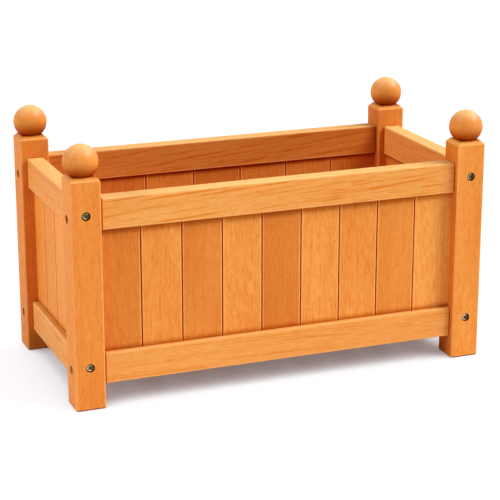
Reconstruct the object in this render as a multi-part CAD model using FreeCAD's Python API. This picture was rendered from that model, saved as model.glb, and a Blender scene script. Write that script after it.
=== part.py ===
import FreeCAD, Part
import math
import os

# Rectangular hardwood garden planter: four corner posts with ball finials, two grooved
# rails on each side, tongue-and-groove boards between the rails, and a slatted floor.
# Millimetres. X runs along the length, Y from front to back, Z up from the floor.

# Overall size, over the posts
LENGTH = 730.0
DEPTH = 360.0
SHOULDER_HEIGHT = 380.0      # floor to where the posts' chamfered tops begin

# Corner posts
POST_SIDE = 50.0
POST_ARRIS_RADIUS = 2.5      # eased upright edges
POST_FOOT_BEVEL = 2.0        # worn, eased edge under the foot
POST_TOP_RISE = 6.5          # height of the chamfered top
POST_TOP_INSET = 6.5         # how far the chamfer comes in on each side

# Ball finials
BALL_RADIUS = 28.5
BALL_SEAT_RADIUS = 18.5      # flat that sits on the post
SPIGOT_RADIUS = 8.0          # turned on the ball, glued into the post
SPIGOT_LENGTH = 22.0
SPIGOT_SIDE_GAP = 0.3
SPIGOT_END_GAP = 1.0

# Rails, the same section all round
RAIL_HEIGHT = 52.0
RAIL_THICKNESS = 28.0
RAIL_SETBACK = 11.0          # from the posts' outer faces to the rails' outer faces
RAIL_BEVEL = 1.8             # eased long edges
TOP_RAIL_DROP = 31.0         # from the posts' shoulder down to the top rails
BOTTOM_RAIL_RISE = 38.0      # from the floor up to the bottom rails

# Upright boards
BOARD_THICKNESS = 12.0
BOARD_SETBACK = 10.0         # from the rails' outer faces to the boards' outer faces
BOARD_BEVEL = 1.4            # beveled long edges that make the V joints
BOARD_JOINT_GAP = 0.5        # open line at the bottom of each V joint
TONGUE_THICKNESS = 4.0
TONGUE_LENGTH = 5.0
TONGUE_SIDE_GAP = 0.2
TONGUE_END_GAP = 0.5
HOUSING_DEPTH = 8.0          # groove in rails and posts that holds the boards
HOUSING_SIDE_GAP = 0.2
HOUSING_END_GAP = 0.5
FRONT_BOARD_COUNT = 9
BACK_BOARD_COUNT = 7
END_BOARD_COUNT = 4

# Stub tenons on the rail ends
TENON_THICKNESS = 12.0
TENON_HEIGHT = 32.0
TENON_LENGTH = 10.0
TENON_SHIFT = 1.0            # from the middle of the rail, away from the boards
TENON_SIDE_GAP = 0.2
TENON_END_GAP = 0.5

# Bolts that run through the posts and tenons into the rails
BOLT_RADIUS = 3.0
BOLT_LENGTH = 88.0           # under the head
BOLT_HEAD_RADIUS = 6.0       # at its seat
BOLT_FACE_RADIUS = 5.2       # at its outer face
BOLT_HEAD_HEIGHT = 3.6
SOCKET_ACROSS_FLATS = 5.0
SOCKET_DEPTH = 2.4
COUNTERBORE_RADIUS = 7.2
COUNTERBORE_DEPTH = 5.0
BOLT_BORE_GAP = 0.3          # clearance round the bolt in post and rail
BOLT_BORE_RUNOUT = 2.0       # how much deeper the rail is bored than the bolt reaches
TOP_BOLT_SHIFT = -6.0        # long-rail bolts, from the middle of the top rail
BOTTOM_BOLT_SHIFT = 0.0      # long-rail bolts, from the middle of the bottom rail
BOLT_STAGGER = 8.0           # end-rail bolts pass this much above the long-rail bolts

# Slatted floor
BATTEN_WIDTH = 20.0
BATTEN_HEIGHT = 22.0
BATTEN_RISE = 2.0            # above the underside of the bottom rails
BATTEN_END_GAP = 0.5
BATTEN_BEVEL = 1.0
SLAT_COUNT = 9
SLAT_GAP = 9.0
SLAT_THICKNESS = 12.0
SLAT_END_GAP = 1.0
SLAT_SIDE_GAP = 1.0          # outer slats to the posts
SLAT_BEVEL = 1.5

CUT_OVERRUN = 1.0            # tools pass this far out of the wood

# Places worked out from the sizes above
HALF_LENGTH = LENGTH / 2
HALF_DEPTH = DEPTH / 2
POST_CENTRE = POST_SIDE / 2
LONG_RAIL_LENGTH = LENGTH - 2 * POST_SIDE
END_RAIL_LENGTH = DEPTH - 2 * POST_SIDE
POST_TOP = SHOULDER_HEIGHT + POST_TOP_RISE
TOP_RAIL_UNDERSIDE = SHOULDER_HEIGHT - TOP_RAIL_DROP - RAIL_HEIGHT
BOTTOM_RAIL_TOP = BOTTOM_RAIL_RISE + RAIL_HEIGHT
TOP_RAIL_MIDDLE = TOP_RAIL_UNDERSIDE + RAIL_HEIGHT / 2
BOTTOM_RAIL_MIDDLE = BOTTOM_RAIL_RISE + RAIL_HEIGHT / 2
RAIL_CENTRE = RAIL_SETBACK + RAIL_THICKNESS / 2
HOUSING_BOTTOM = BOTTOM_RAIL_TOP - HOUSING_DEPTH
HOUSING_TOP = TOP_RAIL_UNDERSIDE + HOUSING_DEPTH
BOARD_HEIGHT = HOUSING_TOP - HOUSING_END_GAP - HOUSING_BOTTOM
BOARD_FACE = RAIL_SETBACK + BOARD_SETBACK      # from the posts' outer faces
LONG_BOLT_HEIGHTS = (TOP_RAIL_MIDDLE + TOP_BOLT_SHIFT, BOTTOM_RAIL_MIDDLE + BOTTOM_BOLT_SHIFT)
END_BOLT_HEIGHTS = tuple(height + BOLT_STAGGER for height in LONG_BOLT_HEIGHTS)
TENON_MIDDLES = (TOP_RAIL_MIDDLE + TENON_SHIFT, BOTTOM_RAIL_MIDDLE - TENON_SHIFT)
BOLT_BORE_RADIUS = BOLT_RADIUS + BOLT_BORE_GAP
BOLT_REACH = COUNTERBORE_DEPTH + BOLT_LENGTH - POST_SIDE + BOLT_BORE_RUNOUT
RAIL_INNER_FACE = HALF_DEPTH - RAIL_SETBACK - RAIL_THICKNESS
BATTEN_FLOOR = BOTTOM_RAIL_RISE + BATTEN_RISE
SLAT_FLOOR = BATTEN_FLOOR + BATTEN_HEIGHT
SLAT_LENGTH = 2 * (RAIL_INNER_FACE - SLAT_END_GAP)
SLAT_WIDTH = (LONG_RAIL_LENGTH - 2 * SLAT_SIDE_GAP - (SLAT_COUNT - 1) * SLAT_GAP) / SLAT_COUNT
SLAT_PITCH = SLAT_WIDTH + SLAT_GAP
BATTEN_LINE = RAIL_INNER_FACE - BATTEN_WIDTH / 2

X_AXIS = FreeCAD.Vector(1, 0, 0)
Y_AXIS = FreeCAD.Vector(0, 1, 0)
Z_AXIS = FreeCAD.Vector(0, 0, 1)
ORIGIN = FreeCAD.Vector(0, 0, 0)


def save(name, shape):
    """Writes one piece, or a group of like pieces, under its name."""
    shape.exportStep("parts/" + name + ".step")


def rounded_outline(corners, radius):
    """Closed wire in the XY plane through the corners, each turned with an arc of the radius."""
    edges = []
    starts = []
    ends = []
    for index, corner in enumerate(corners):
        before = corners[index - 1]
        after = corners[(index + 1) % len(corners)]
        incoming = (before - corner).normalize()
        outgoing = (after - corner).normalize()
        half_turn = incoming.getAngle(outgoing) / 2
        bisector = (incoming + outgoing).normalize()
        start = corner + incoming * (radius / math.tan(half_turn))
        end = corner + outgoing * (radius / math.tan(half_turn))
        middle = corner + bisector * (radius / math.sin(half_turn) - radius)
        edges.append(Part.Arc(start, middle, end).toShape())
        starts.append(start)
        ends.append(end)
    for index, end in enumerate(ends):
        edges.append(Part.makeLine(end, starts[(index + 1) % len(starts)]))
    return Part.Wire(Part.__sortEdges__(edges))


def rectangle_points(width, height):
    """Corners of a rectangle about the origin, in order."""
    x, y = width / 2, height / 2
    return [FreeCAD.Vector(*point, 0) for point in ((-x, -y), (x, -y), (x, y), (-x, y))]


def rounded_bar(width, height, length, radius):
    """Bar along Z with a rounded rectangular section about the Z axis, its end on the XY plane."""
    outline = rounded_outline(rectangle_points(width, height), radius)
    return Part.Face(outline).extrude(Z_AXIS * length)


def prism(points, length):
    """Straight-sided solid: the outline in the XY plane carried up along Z."""
    closed = [FreeCAD.Vector(x, y, 0) for x, y in points]
    return Part.Face(Part.makePolygon(closed + closed[:1])).extrude(Z_AXIS * length)


def bevelled_bar(width, height, length, bevel):
    """Bar along Z with bevelled long edges about the Z axis, its end on the XY plane."""
    x, y = width / 2, height / 2
    points = [
        (bevel - x, -y), (x - bevel, -y), (x, bevel - y), (x, y - bevel),
        (x - bevel, y), (bevel - x, y), (-x, y - bevel), (-x, bevel - y),
    ]
    return prism(points, length)


def bore(radius, depth, mouth, inward):
    """Drill that enters at the mouth and runs inward to its depth, with an overrun outside."""
    return Part.makeCylinder(radius, depth + CUT_OVERRUN, mouth - inward * CUT_OVERRUN, inward)


def lay_along_x(shape):
    """Turns a bar that stands along Z, with its width in X and height in Y, to lie along X."""
    shape.rotate(ORIGIN, X_AXIS, 90)
    shape.rotate(ORIGIN, Z_AXIS, 90)
    return shape


def at_corner(shape, x_side, y_side):
    """Mirrors a piece of the front left corner to another corner."""
    if x_side > 0:
        shape = shape.mirror(ORIGIN, X_AXIS)
    if y_side > 0:
        shape = shape.mirror(ORIGIN, Y_AXIS)
    return shape


def corner_point(from_left, from_front, height):
    """Point given by its distances from the posts' outer faces at the front left corner."""
    return FreeCAD.Vector(from_left - HALF_LENGTH, from_front - HALF_DEPTH, height)


def bolt_line(inward, depth, height):
    """Point on the front left post's middle, at a depth from the outer face that a bolt enters."""
    along_x = inward.x != 0
    return corner_point(depth if along_x else POST_CENTRE, POST_CENTRE if along_x else depth, height)


def post_profile():
    """Post seen square on, with its eased foot and hipped top, as deep in Y as it is wide."""
    half = POST_SIDE / 2
    foot = half - POST_FOOT_BEVEL
    crown = half - POST_TOP_INSET
    right = [(foot, 0), (half, POST_FOOT_BEVEL), (half, SHOULDER_HEIGHT), (crown, POST_TOP)]
    left = [(-across, height) for across, height in reversed(right)]
    profile = prism(right + left, POST_SIDE)
    profile.rotate(ORIGIN, X_AXIS, 90)
    profile.translate(Y_AXIS * half)
    return profile


def post_blank():
    """Post before any joint is cut: the profile from both sides, with rounded upright arrises."""
    side_profile = post_profile()
    side_profile.rotate(ORIGIN, Z_AXIS, 90)
    shaft = rounded_bar(POST_SIDE, POST_SIDE, POST_TOP, POST_ARRIS_RADIUS)
    blank = shaft.common(post_profile()).common(side_profile).removeSplitter()
    blank.translate(corner_point(POST_CENTRE, POST_CENTRE, 0))
    return blank


def post_recess(inward, start, width, bottom, top, depth):
    """Square-cornered recess in the side of the front left post that a bolt along inward leaves by.

    Its width runs from the given start, measured from the planter's outer face beside it."""
    reach = depth + CUT_OVERRUN
    if inward.x != 0:
        return Part.makeBox(reach, width, top - bottom, corner_point(POST_SIDE - depth, start, bottom))
    return Part.makeBox(width, reach, top - bottom, corner_point(start, POST_SIDE - depth, bottom))


def post_joint(inward, bolt_heights):
    """Cutters for one inner side of the post: panel groove, two mortises and two bolt holes."""
    start = BOARD_FACE - HOUSING_SIDE_GAP
    width = BOARD_THICKNESS + 2 * HOUSING_SIDE_GAP
    cutters = [post_recess(inward, start, width, HOUSING_BOTTOM, HOUSING_TOP, HOUSING_DEPTH)]
    width = TENON_THICKNESS + 2 * TENON_SIDE_GAP
    rise = TENON_HEIGHT / 2 + TENON_SIDE_GAP
    depth = TENON_LENGTH + TENON_END_GAP
    start = POST_CENTRE - width / 2
    for middle in TENON_MIDDLES:
        cutters.append(post_recess(inward, start, width, middle - rise, middle + rise, depth))
    for height in bolt_heights:
        mouth = bolt_line(inward, 0, height)
        cutters.append(bore(COUNTERBORE_RADIUS, COUNTERBORE_DEPTH, mouth, inward))
        cutters.append(bore(BOLT_BORE_RADIUS, POST_SIDE, mouth, inward))
    return cutters


def corner_post():
    """Front left corner post with the joints of both sides and the hole for the ball's spigot."""
    cutters = post_joint(X_AXIS, LONG_BOLT_HEIGHTS) + post_joint(Y_AXIS, END_BOLT_HEIGHTS)
    top = corner_point(POST_CENTRE, POST_CENTRE, POST_TOP)
    cutters.append(bore(SPIGOT_RADIUS + SPIGOT_SIDE_GAP, SPIGOT_LENGTH + SPIGOT_END_GAP, top, -Z_AXIS))
    return post_blank().cut(cutters)


def ball_finial():
    """Turned ball with a flat seat and a spigot below it, revolved about the front left post's axis."""
    seat_to_centre = math.sqrt(BALL_RADIUS ** 2 - BALL_SEAT_RADIUS ** 2)
    seat = corner_point(POST_CENTRE, POST_CENTRE, POST_TOP)
    foot = seat - Z_AXIS * SPIGOT_LENGTH
    centre = seat + Z_AXIS * seat_to_centre
    top = centre + Z_AXIS * BALL_RADIUS
    rim = seat + X_AXIS * BALL_SEAT_RADIUS
    flank = centre + X_AXIS * BALL_RADIUS
    curve = Part.Arc(rim, flank, top).toShape()
    root = seat + X_AXIS * SPIGOT_RADIUS
    straight = Part.makePolygon([top, foot, foot + X_AXIS * SPIGOT_RADIUS, root, rim])
    outline = Part.Wire(Part.__sortEdges__([curve] + straight.Edges))
    return Part.Face(outline).revolve(seat, Z_AXIS, 360)


def rail_blank(length, groove_side):
    """Tenoned rail along X about the origin, outer face towards -Y, grooved where it meets boards."""
    bar = lay_along_x(bevelled_bar(RAIL_THICKNESS, RAIL_HEIGHT, length, RAIL_BEVEL))
    bar.translate(-X_AXIS * (length / 2))
    full = length + 2 * TENON_LENGTH
    tenon_foot = -groove_side * TENON_SHIFT - TENON_HEIGHT / 2
    tenon_start = FreeCAD.Vector(-full / 2, -TENON_THICKNESS / 2, tenon_foot)
    rail = bar.fuse(Part.makeBox(full, TENON_THICKNESS, TENON_HEIGHT, tenon_start))
    groove_width = BOARD_THICKNESS + 2 * HOUSING_SIDE_GAP
    groove_front = BOARD_SETBACK - HOUSING_SIDE_GAP - RAIL_THICKNESS / 2
    groove_foot = RAIL_HEIGHT / 2 - HOUSING_DEPTH if groove_side > 0 else -RAIL_HEIGHT / 2 - CUT_OVERRUN
    start = FreeCAD.Vector(-length / 2 - CUT_OVERRUN, groove_front, groove_foot)
    run = length + 2 * CUT_OVERRUN
    return rail.cut(Part.makeBox(run, groove_width, HOUSING_DEPTH + CUT_OVERRUN, start))


def bored_rail(length, groove_side, bolt_height):
    """Rail with a bolt hole through each tenon, at a height from the rail's middle."""
    cutters = []
    for side in (-1, 1):
        mouth = FreeCAD.Vector(side * (length / 2 + TENON_LENGTH), 0, bolt_height)
        cutters.append(bore(BOLT_BORE_RADIUS, TENON_LENGTH + BOLT_REACH, mouth, X_AXIS * -side))
    return rail_blank(length, groove_side).cut(cutters)


def place_side(shape, turn, reach, height):
    """Turns a piece that faces the front towards another side and moves it out to its place."""
    shape.translate(FreeCAD.Vector(0, -reach, height))
    shape.rotate(ORIGIN, Z_AXIS, turn)
    return shape


def rails():
    """The eight rails: top ones are grooved below and bottom ones above."""
    pieces = {}
    for sides, length, half, bolt_heights in (
        ((("front", 0), ("back", 180)), LONG_RAIL_LENGTH, HALF_DEPTH, LONG_BOLT_HEIGHTS),
        ((("right", 90), ("left", -90)), END_RAIL_LENGTH, HALF_LENGTH, END_BOLT_HEIGHTS),
    ):
        for level, middle, groove_side, bolt_height in (
            ("top", TOP_RAIL_MIDDLE, -1, bolt_heights[0]),
            ("bottom", BOTTOM_RAIL_MIDDLE, 1, bolt_heights[1]),
        ):
            rail = bored_rail(length, groove_side, bolt_height - middle)
            for side, turn in sides:
                placed = place_side(rail.copy(), turn, half - RAIL_CENTRE, middle)
                pieces[side + "_" + level + "_rail"] = placed
    return pieces


def board(width, left_kind, right_kind):
    """Upright board seen from above, outer face towards -Y, from x = 0 to its width.

    An edge is a "groove", a "tongue" or a plain "end" that enters the groove of a post."""
    t, bevel, lap = BOARD_THICKNESS, BOARD_BEVEL, BOARD_JOINT_GAP / 2
    tongue_low = (t - TONGUE_THICKNESS) / 2
    tongue_high = (t + TONGUE_THICKNESS) / 2
    slot_low = tongue_low - TONGUE_SIDE_GAP
    slot_high = tongue_high + TONGUE_SIDE_GAP
    slot_depth = TONGUE_LENGTH + TONGUE_END_GAP + lap
    housed = HOUSING_DEPTH - HOUSING_END_GAP
    left = {
        "end": [(-housed, t), (-housed, 0)],
        "groove": [
            (lap + bevel, t), (lap, t - bevel), (lap, slot_high), (slot_depth, slot_high),
            (slot_depth, slot_low), (lap, slot_low), (lap, bevel), (lap + bevel, 0),
        ],
    }[left_kind]
    edge = width - lap
    right = {
        "end": [(width + housed, 0), (width + housed, t)],
        "tongue": [
            (edge - bevel, 0), (edge, bevel), (edge, tongue_low),
            (edge + TONGUE_LENGTH, tongue_low), (edge + TONGUE_LENGTH, tongue_high),
            (edge, tongue_high), (edge, t - bevel), (edge - bevel, t),
        ],
    }[right_kind]
    return prism(left + right, BOARD_HEIGHT)


def panel(span, count):
    """Boards that fill a span between two posts, side by side along X about the origin."""
    width = span / count
    boards = []
    for index in range(count):
        left_kind = "end" if index == 0 else "groove"
        right_kind = "end" if index == count - 1 else "tongue"
        piece = board(width, left_kind, right_kind)
        piece.translate(FreeCAD.Vector(index * width - span / 2, 0, 0))
        boards.append(piece)
    return boards


def panels():
    """The four walls of boards, each board resting in the groove of its bottom rail."""
    pieces = {}
    for name, turn, span, half, count in (
        ("front", 0, LONG_RAIL_LENGTH, HALF_DEPTH, FRONT_BOARD_COUNT),
        ("back", 180, LONG_RAIL_LENGTH, HALF_DEPTH, BACK_BOARD_COUNT),
        ("right", 90, END_RAIL_LENGTH, HALF_LENGTH, END_BOARD_COUNT),
        ("left", -90, END_RAIL_LENGTH, HALF_LENGTH, END_BOARD_COUNT),
    ):
        for index, piece in enumerate(panel(span, count)):
            placed = place_side(piece, turn, half - BOARD_FACE, HOUSING_BOTTOM)
            pieces[name + "_board_" + str(index + 1)] = placed
    return pieces


def turned_solid(points):
    """Solid of revolution about Z from (radius, height) points that start and end on the axis."""
    outline = [FreeCAD.Vector(radius, 0, height) for radius, height in points]
    return Part.Face(Part.makePolygon(outline + outline[:1])).revolve(ORIGIN, Z_AXIS, 360)


def socket_bolt(seat, inward):
    """Bolt whose tapered head, with a hexagon socket, seats in a counterbore."""
    bolt = turned_solid([
        (0, -BOLT_HEAD_HEIGHT), (BOLT_FACE_RADIUS, -BOLT_HEAD_HEIGHT), (BOLT_HEAD_RADIUS, 0),
        (BOLT_RADIUS, 0), (BOLT_RADIUS, BOLT_LENGTH), (0, BOLT_LENGTH),
    ])
    corner = SOCKET_ACROSS_FLATS / math.sqrt(3)
    angles = [math.radians(60 * step) for step in range(6)]
    hexagon = prism([(corner * math.cos(a), corner * math.sin(a)) for a in angles],
                    SOCKET_DEPTH + CUT_OVERRUN)
    hexagon.translate(-Z_AXIS * (BOLT_HEAD_HEIGHT + CUT_OVERRUN))
    bolt = bolt.cut(hexagon)
    bolt.Placement = FreeCAD.Placement(seat, FreeCAD.Rotation(Z_AXIS, inward))
    return bolt


def bolt_groups():
    """Bolts by the side of the planter that their heads show on."""
    into_long = [socket_bolt(bolt_line(X_AXIS, COUNTERBORE_DEPTH, h), X_AXIS) for h in LONG_BOLT_HEIGHTS]
    into_end = [socket_bolt(bolt_line(Y_AXIS, COUNTERBORE_DEPTH, h), Y_AXIS) for h in END_BOLT_HEIGHTS]
    groups = {}
    for name, bolts, corners in (
        ("left_bolts", into_long, ((-1, -1), (-1, 1))),
        ("right_bolts", into_long, ((1, -1), (1, 1))),
        ("front_bolts", into_end, ((-1, -1), (1, -1))),
        ("back_bolts", into_end, ((-1, 1), (1, 1))),
    ):
        placed = [at_corner(bolt, x_side, y_side) for x_side, y_side in corners for bolt in bolts]
        groups[name] = Part.makeCompound(placed)
    return groups


def floor_battens():
    """Two battens on the inner faces of the long bottom rails, between the posts."""
    length = LONG_RAIL_LENGTH - 2 * BATTEN_END_GAP
    bar = lay_along_x(bevelled_bar(BATTEN_WIDTH, BATTEN_HEIGHT, length, BATTEN_BEVEL))
    bar.translate(X_AXIS * (-length / 2))
    height = BATTEN_FLOOR + BATTEN_HEIGHT / 2
    return {
        "front_floor_batten": place_side(bar.copy(), 0, BATTEN_LINE, height),
        "back_floor_batten": place_side(bar.copy(), 180, BATTEN_LINE, height),
    }


def floor_slats():
    """Cross slats on the battens, with drainage gaps between them."""
    slat = bevelled_bar(SLAT_WIDTH, SLAT_THICKNESS, SLAT_LENGTH, SLAT_BEVEL)
    slat.rotate(ORIGIN, X_AXIS, 90)
    slat.translate(Y_AXIS * (SLAT_LENGTH / 2))
    slats = {}
    for index in range(SLAT_COUNT):
        x = (index - (SLAT_COUNT - 1) / 2) * SLAT_PITCH
        piece = slat.copy()
        piece.translate(FreeCAD.Vector(x, 0, SLAT_FLOOR + SLAT_THICKNESS / 2))
        slats["floor_slat_" + str(index + 1)] = piece
    return slats


def build():
    """Makes every piece and writes each under its node's name."""
    os.makedirs("parts", exist_ok=True)
    pieces = {}
    post = corner_post()
    ball = ball_finial()
    for depth_name, y_side in (("front", -1), ("back", 1)):
        for side_name, x_side in (("left", -1), ("right", 1)):
            corner = depth_name + "_" + side_name
            pieces["corner_post_" + corner] = at_corner(post, x_side, y_side)
            pieces["ball_finial_" + corner] = at_corner(ball, x_side, y_side)
    pieces.update(rails())
    pieces.update(panels())
    pieces.update(floor_battens())
    pieces.update(floor_slats())
    pieces.update(bolt_groups())
    for name, shape in pieces.items():
        save(name, shape)
    print(len(pieces), "nodes written")


build()
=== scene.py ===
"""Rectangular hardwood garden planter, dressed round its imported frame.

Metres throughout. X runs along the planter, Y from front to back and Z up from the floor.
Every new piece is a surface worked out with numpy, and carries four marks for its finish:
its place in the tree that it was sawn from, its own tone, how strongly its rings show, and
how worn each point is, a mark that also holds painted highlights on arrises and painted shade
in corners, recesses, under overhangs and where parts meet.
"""

import logging
import math
from dataclasses import dataclass
from enum import Enum
from itertools import product
from typing import Any, Callable, ClassVar, Mapping, Optional, Sequence, Union

import bpy
import numpy as np
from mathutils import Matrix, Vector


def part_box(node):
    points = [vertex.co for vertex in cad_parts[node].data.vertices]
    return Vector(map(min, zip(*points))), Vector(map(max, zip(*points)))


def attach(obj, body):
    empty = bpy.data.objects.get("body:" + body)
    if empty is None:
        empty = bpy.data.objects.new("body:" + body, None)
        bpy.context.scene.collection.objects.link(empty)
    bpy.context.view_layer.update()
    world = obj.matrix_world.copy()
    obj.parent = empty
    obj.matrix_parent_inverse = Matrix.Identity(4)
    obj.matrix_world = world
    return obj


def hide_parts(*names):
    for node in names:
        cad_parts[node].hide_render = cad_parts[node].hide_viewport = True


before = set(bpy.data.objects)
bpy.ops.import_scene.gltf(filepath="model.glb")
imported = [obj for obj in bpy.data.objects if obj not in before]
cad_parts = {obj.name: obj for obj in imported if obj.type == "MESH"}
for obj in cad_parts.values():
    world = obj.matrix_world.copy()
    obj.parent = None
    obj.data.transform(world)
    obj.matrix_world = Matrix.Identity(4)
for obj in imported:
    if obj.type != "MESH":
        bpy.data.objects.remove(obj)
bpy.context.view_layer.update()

Array = np.ndarray
Pair = tuple[float, float]
Colour = tuple[float, float, float]
Stops = Sequence[tuple[float, Colour]]

LOG = logging.getLogger("planter")
MM = 0.001
HAIR = 0.01 * MM             # points closer than this to a face lie in it
UP = np.array([0.0, 0.0, 1.0])
HERE = np.zeros(3)
LEVEL = np.eye(3)            # axes of a piece that stands along X, Y and Z
FULL_TURN = 2 * math.pi
QUARTER_TURN = math.pi / 2
ARC_STEPS = 6
STATION_STEP = 60 * MM
SHARP_ANGLE = math.radians(38.0)
LOG_SEEDS = 10000
PLACE_MARK = "wood_place"
TONE_MARK = "tone"
FIGURE_MARK = "figure"
WEAR_AND_SHADE_MARK = "wear"
DIRECT_RAYS = ("Is Camera Ray", "Is Glossy Ray", "Is Transmission Ray")


class Place(Enum):
    """A named place on the planter."""

    @property
    def label(self) -> str:
        """Its name in the names of nodes and pieces."""
        return self.name.lower()


class Side(Place):
    """The four sides, each with the direction that leads into the planter."""

    FRONT = (0.0, 1.0)
    RIGHT = (-1.0, 0.0)
    BACK = (0.0, -1.0)
    LEFT = (1.0, 0.0)

    @property
    def inward(self) -> Array:
        """Unit vector from the side's outer face into the planter."""
        return np.array([*self.value, 0.0])

    @property
    def sideways(self) -> Array:
        """Unit vector along the side, to the right for someone who faces it."""
        return np.cross(self.inward, UP)

    @property
    def rail_axes(self) -> Array:
        """Rows for a rail: inward, up and along it."""
        return np.array([self.inward, UP, self.sideways])

    @property
    def board_axes(self) -> Array:
        """Rows for an upright board: sideways, inward and up."""
        return np.array([self.sideways, self.inward, UP])


class Corner(Place):
    """The four corners, each with the signs that mirror the front left post into its place."""

    FRONT_LEFT = (1.0, 1.0)
    FRONT_RIGHT = (-1.0, 1.0)
    BACK_LEFT = (1.0, -1.0)
    BACK_RIGHT = (-1.0, -1.0)


class Sawing(Enum):
    """How a piece lies in the log: its heart's place and lean, each across and through, and figure."""

    QUARTER = (0.230, 0.020, 0.004, 0.010, 0.25)
    RIFT = (0.120, 0.090, 0.012, 0.020, 0.45)
    FLAT = (0.006, 0.034, 0.020, 0.075, 1.00)
    TURNED = (0.055, 0.040, 0.000, 0.050, 0.50)

    @property
    def figure(self) -> float:
        """How strongly the rings show."""
        return self.value[4]

    @classmethod
    def drawn(cls, rng: np.random.Generator) -> "Sawing":
        """One of the three sawings of flat pieces, by chance."""
        return list(cls)[int(rng.integers(3))]


class Noise(Enum):
    """Noises of the finishes: cells to the metre along and across the grain, detail and roughness."""

    CLOUDS = (2.6, 13.0, 1.0, 0.5)
    BENDS = (1.6, 14.0, 2.0, 0.5)
    RING_SPACING = (0.8, 34.0, 1.0, 0.5)
    RING_PATCHES = (2.4, 22.0, 1.0, 0.5)
    STREAKS = (4.0, 130.0, 3.0, 0.6)
    LINES = (4.0, 370.0, 1.0, 0.5)
    MOTTLE = (54.0, 100.0, 5.0, 0.84)
    FIBRES = (70.0, 420.0, 4.0, 0.65)
    PORES = (60.0, 1500.0, 1.0, 0.5)
    STEEL_PATCHES = (260.0, 260.0, 3.0, 0.6)
    STEEL_LAY = (300.0, 6000.0, 2.0, 0.6)


def extent(node: str, axes: Array = LEVEL) -> tuple[Array, Array]:
    """Lowest and highest corner of a node's box, measured along three unit rows."""
    ends = axes @ np.array([list(corner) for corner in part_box(node)]).T
    return ends.min(axis=1), ends.max(axis=1)


@dataclass
class Surface:
    """A closed surface: points, groups of faces with equal corner counts, and wear marks.

    These marks are 1 on an arris that hands and weather have paled and that carries a painted
    highlight, 0 on a flat, and below 0 where shade is painted, in corners, recesses, under
    overhangs and where parts meet, and in dark joints.
    """

    points: Array
    faces: list[Array]
    wear: Array

    @staticmethod
    def joined(parts: Sequence["Surface"]) -> "Surface":
        """Surfaces as one, each with its own points.

        Args:
            parts: the surfaces.

        Returns:
            The one surface.
        """
        starts = np.cumsum([0] + [len(part.points) for part in parts[:-1]])
        faces = [group + start for part, start in zip(parts, starts) for group in part.faces]
        points = np.concatenate([part.points for part in parts])
        return Surface(points, faces, np.concatenate([part.wear for part in parts]))

    def moved(self, axes: Array, origin: Array = HERE) -> "Surface":
        """This surface with its x, y and z laid along three rows, which may mirror, and moved."""
        faces = self.faces if np.linalg.det(axes) > 0 else [group[:, ::-1] for group in self.faces]
        return Surface(self.points @ axes + origin, faces, self.wear)


def ring_faces(rings: Array) -> Array:
    """Quads between each ring, a row of point numbers anticlockwise from above, and the next one."""
    after = np.roll(rings, -1, axis=1)
    return np.stack([rings[:-1], after[:-1], after[1:], rings[1:]], axis=-1).reshape(-1, 4)


def lifted(rings: Array, heights: Array) -> Array:
    """Points of rings of (x, y), each ring at its own height."""
    levels = np.broadcast_to(heights[:, None, None], (*rings.shape[:2], 1))
    return np.concatenate([rings, levels], axis=2).reshape(-1, 3)


def fillet(corners: Sequence[Pair], radii: Union[float, Sequence[float]],
           fade: float = 1.4 * MM) -> tuple[Array, Array]:
    """Closed outline through corners, each turned with an arc.

    A corner, with unit vectors a and b to the corners before and after it, has its arc's centre on
    their bisector at r / sin(h), h being half the angle between them. The arc's points blend the
    directions d and e from that centre to its ends: (sin((1 - s) w) d + sin(s w) e) / sin(w). A
    point on each straight, off the arc but short of the straight's middle, ends its mark: 1 on a
    convex arc, for wear and a painted highlight, and -1 on a concave one, for painted shade.

    Args:
        corners: the corners, anticlockwise.
        radii: radius of every arc, or one for each corner.
        fade: distance from an arc over which its mark ends.

    Returns:
        The points of the outline, and the mark of wear and painted light of each.
    """
    short_of_middle = 2.2
    corner = np.asarray(corners, float)
    radius = np.broadcast_to(np.asarray(radii, float), len(corner))[:, None]
    before = np.roll(corner, 1, axis=0) - corner
    after = np.roll(corner, -1, axis=0) - corner
    reach = [np.linalg.norm(side, axis=1, keepdims=True) for side in (before, after)]
    a, b = before / reach[0], after / reach[1]
    half = np.arccos(np.clip((a * b).sum(axis=1, keepdims=True), -1, 1)) / 2
    tangent = radius / np.tan(half)
    bisector = (a + b) / np.linalg.norm(a + b, axis=1, keepdims=True)
    centre = corner + bisector * radius / np.sin(half)
    start, end = corner + a * tangent - centre, corner + b * tangent - centre
    sweep = math.pi - 2 * half[:, None, :]
    s = np.linspace(0, 1, ARC_STEPS + 1)[None, :, None]
    arcs = (np.sin((1 - s) * sweep) * start[:, None] + np.sin(s * sweep) * end[:, None]) / np.sin(sweep)
    lead, trail = (
        corner + way * np.minimum(tangent + fade, np.maximum(tangent, length / short_of_middle))
        for way, length in zip((a, b), reach))
    outline = np.concatenate([lead[:, None], arcs + centre[:, None], trail[:, None]], axis=1).reshape(-1, 2)
    turn = np.sign(after[:, 0] * before[:, 1] - after[:, 1] * before[:, 0])
    marks = np.r_[0.0, np.ones(ARC_STEPS + 1), 0.0]
    return outline, (turn[:, None] * marks).reshape(-1)


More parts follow.
